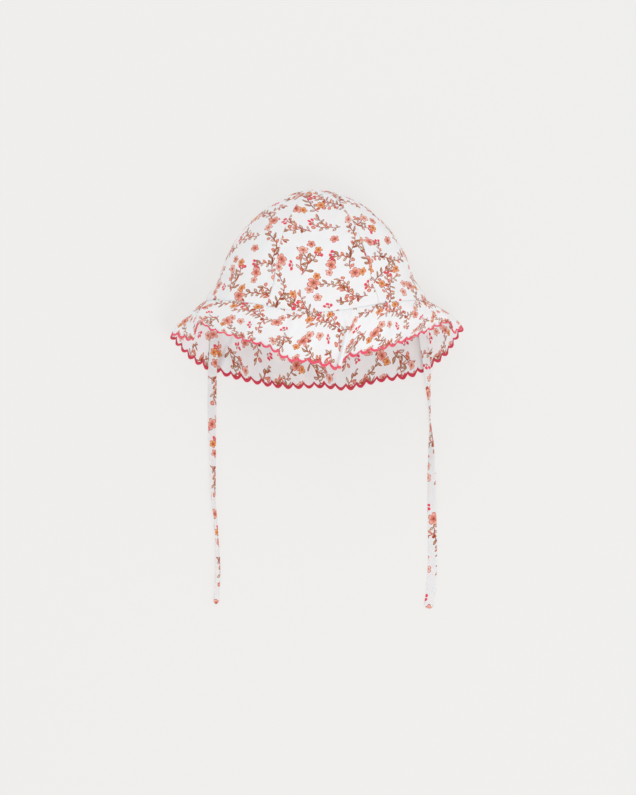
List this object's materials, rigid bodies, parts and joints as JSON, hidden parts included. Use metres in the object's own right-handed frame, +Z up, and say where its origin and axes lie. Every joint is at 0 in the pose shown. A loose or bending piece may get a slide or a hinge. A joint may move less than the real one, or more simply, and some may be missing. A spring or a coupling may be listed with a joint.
{
  "type": "cotton sun hat",
  "caption": "Baby's cotton sun hat with a six-gore crown, a gathered frill brim with scalloped edging and two flat ties, lying on its back.",
  "frame": {"origin": "On the surface that the hat lies on, under the middle of the hat without its ties", "axes": "+Z up, out of the front of the hat; +Y towards the top of the crown; +X to the right as seen from above"},
  "size_m": [0.2604, 0.3715, 0.1227],
  "materials": {
    "printed_cotton": "plain-woven white cotton with a small printed vine of flowers, soft and matt",
    "edging_thread": "dense overlocked stitches of pink cotton thread"
  },
  "bodies": {
    "root": {"gore_front": "printed_cotton", "gore_front_left": "printed_cotton", "gore_back_left": "printed_cotton", "gore_back": "printed_cotton", "gore_back_right": "printed_cotton", "gore_front_right": "printed_cotton", "frill_brim": "printed_cotton", "scalloped_edging": "edging_thread", "tie_left": "printed_cotton", "tie_right": "printed_cotton"}
  },
  "joints": []
}
